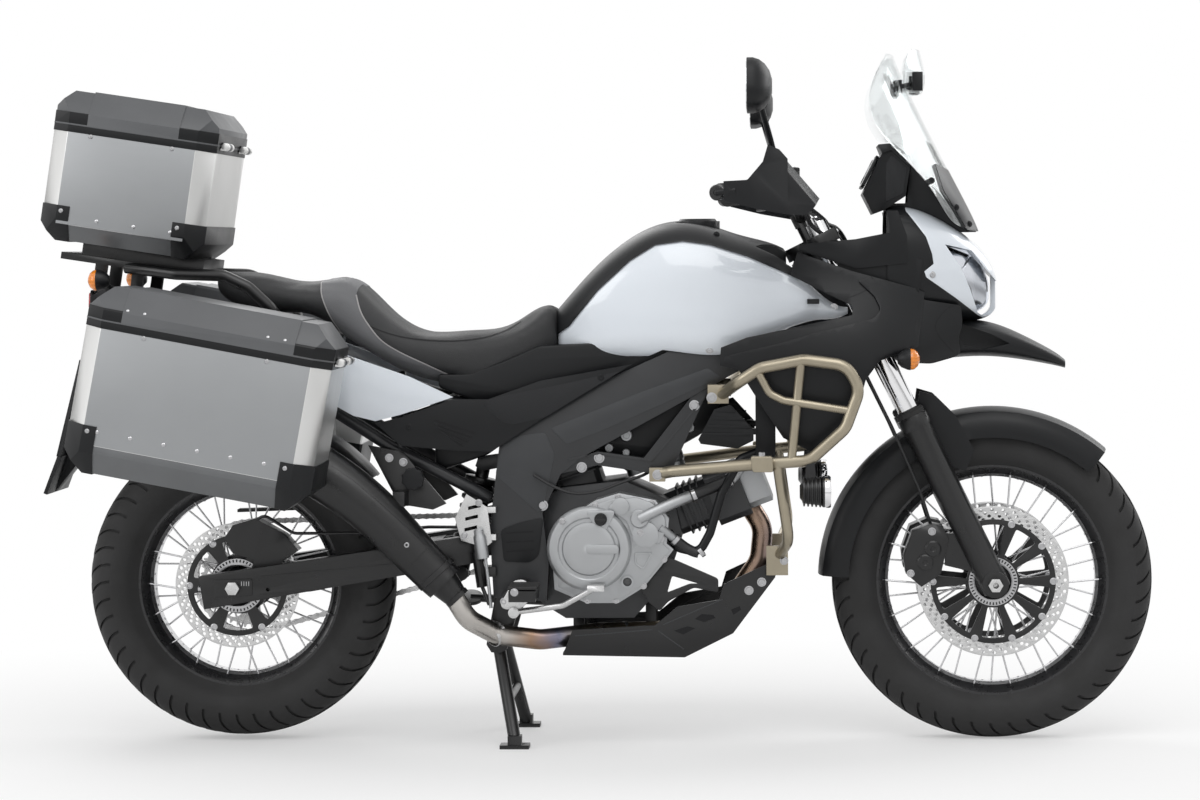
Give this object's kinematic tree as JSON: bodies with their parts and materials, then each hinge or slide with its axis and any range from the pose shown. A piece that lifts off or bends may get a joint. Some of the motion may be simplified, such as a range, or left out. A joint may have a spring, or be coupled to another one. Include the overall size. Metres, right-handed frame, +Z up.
{
  "type": "adventure motorcycle",
  "caption": "Two-wheeled adventure motorcycle on its centre stand, with wire-spoked wheels, crash bars, a tall screen and three hinged aluminium luggage boxes.",
  "frame": {"origin": "on the ground, midway between the front tyre's foremost point and the plate flap's rearmost point, on the machine's middle plane", "axes": "+X towards the front of the machine, +Y towards the rider's left, +Z up"},
  "size_m": [2.2893, 0.96, 1.419],
  "materials": {
    "frame_paint": "satin",
    "alloy_grey": "cast, satin",
    "alloy_case": "brushed",
    "case_lid_skin": "anodised, satin",
    "engine_dark": "matt",
    "steel": "brushed",
    "hot_steel": "heat tinted",
    "chrome_tube": "polished",
    "black_steel": "satin",
    "champagne": "satin",
    "white_plastic": "gloss",
    "black_plastic": "grained",
    "tyre_rubber": "matt",
    "rim_black": "satin",
    "seat_leather": "grained",
    "clear_screen": "clear",
    "lamp_lens": "clear",
    "orange_lens": "gloss",
    "mirror_shell": "satin"
  },
  "bodies": {
    "chassis": {"beak": "black_plastic", "chain": "steel", "cockpit": "black_plastic", "crash_bars": "champagne", "engine_case": "engine_dark", "engine_covers": "alloy_grey", "exhaust_header": "hot_steel", "fog_lamps": "black_plastic", "footpegs": "black_steel", "frame": "frame_paint", "fuel_tank": "white_plastic", "headlamp": "lamp_lens", "inner_cowls": "black_plastic", "muffler": "black_steel", "nose_cowl": "white_plastic", "pannier_left": "alloy_case", "pannier_rack": "black_steel", "pannier_right": "alloy_case", "pedals": "steel", "radiator": "black_plastic", "rear_axle": "steel", "rear_brake": "black_steel", "rear_fender": "black_plastic", "rear_shock": "black_steel", "seat": "seat_leather", "side_cowls": "black_plastic", "side_panels": "black_plastic", "skid_plate": "black_steel", "subframe": "frame_paint", "swingarm": "black_steel", "tail": "black_plastic", "tail_panels": "white_plastic", "tail_rack": "black_steel", "tank_cover": "black_plastic", "top_box": "alloy_case", "turn_signals": "orange_lens", "windscreen": "clear_screen"},
    "steering": {"triple_clamps": "black_steel", "handlebar": "black_steel", "hand_guards": "black_plastic", "mirrors": "mirror_shell", "controls": "black_plastic", "fork_tubes": "chrome_tube", "fork_lowers": "black_steel", "front_axle": "steel", "front_calipers": "black_steel", "front_fender": "black_plastic", "brake_hoses": "black_plastic"},
    "front_wheel": {"front_tyre": "tyre_rubber", "front_rim": "rim_black", "front_discs": "steel"},
    "rear_wheel": {"rear_tyre": "tyre_rubber", "rear_rim": "rim_black", "rear_disc": "steel", "rear_sprocket": "steel"},
    "top_lid": {"top_box_lid": "case_lid_skin"},
    "right_lid": {"pannier_right_lid": "case_lid_skin"},
    "left_lid": {"pannier_left_lid": "case_lid_skin"},
    "centre_stand": {"centre_stand": "black_steel"},
    "side_stand": {"side_stand": "black_steel"}
  },
  "joints": [
    {"name": "steering_turn", "type": "hinge", "parent": "chassis", "child": "steering", "pos_m": [0.47746, 0, 0.92075], "axis": [-0.4384, 0, 0.8988], "range_deg": [-35, 35]},
    {"name": "front_wheel_spin", "type": "hinge", "parent": "steering", "child": "front_wheel", "pos_m": [0.816, 0, 0.3293], "axis": [0, 1, 0], "continuous": true},
    {"name": "rear_wheel_spin", "type": "hinge", "parent": "chassis", "child": "rear_wheel", "pos_m": [-0.744, 0, 0.3293], "axis": [0, 1, 0], "continuous": true},
    {"name": "top_lid_open", "type": "hinge", "parent": "chassis", "child": "top_lid", "pos_m": [-0.74538, 0, 1.23394], "axis": [0, 1, 0], "range_deg": [0, 95]},
    {"name": "right_lid_open", "type": "hinge", "parent": "chassis", "child": "right_lid", "pos_m": [-0.47538, -0.366, 0.80044], "axis": [0, 1, 0], "range_deg": [0, 95]},
    {"name": "left_lid_open", "type": "hinge", "parent": "chassis", "child": "left_lid", "pos_m": [-0.47538, 0.366, 0.80044], "axis": [0, 1, 0], "range_deg": [0, 95]},
    {"name": "centre_stand_fold", "type": "hinge", "parent": "chassis", "child": "centre_stand", "pos_m": [-0.205, 0, 0.208], "axis": [0, 1, 0], "range_deg": [0, 85]},
    {"name": "side_stand_fold", "type": "hinge", "parent": "chassis", "child": "side_stand", "pos_m": [-0.06, 0.177, 0.262], "axis": [-0.0449, -0.8975, -0.4388], "range_deg": [0, 100]}
  ]
}
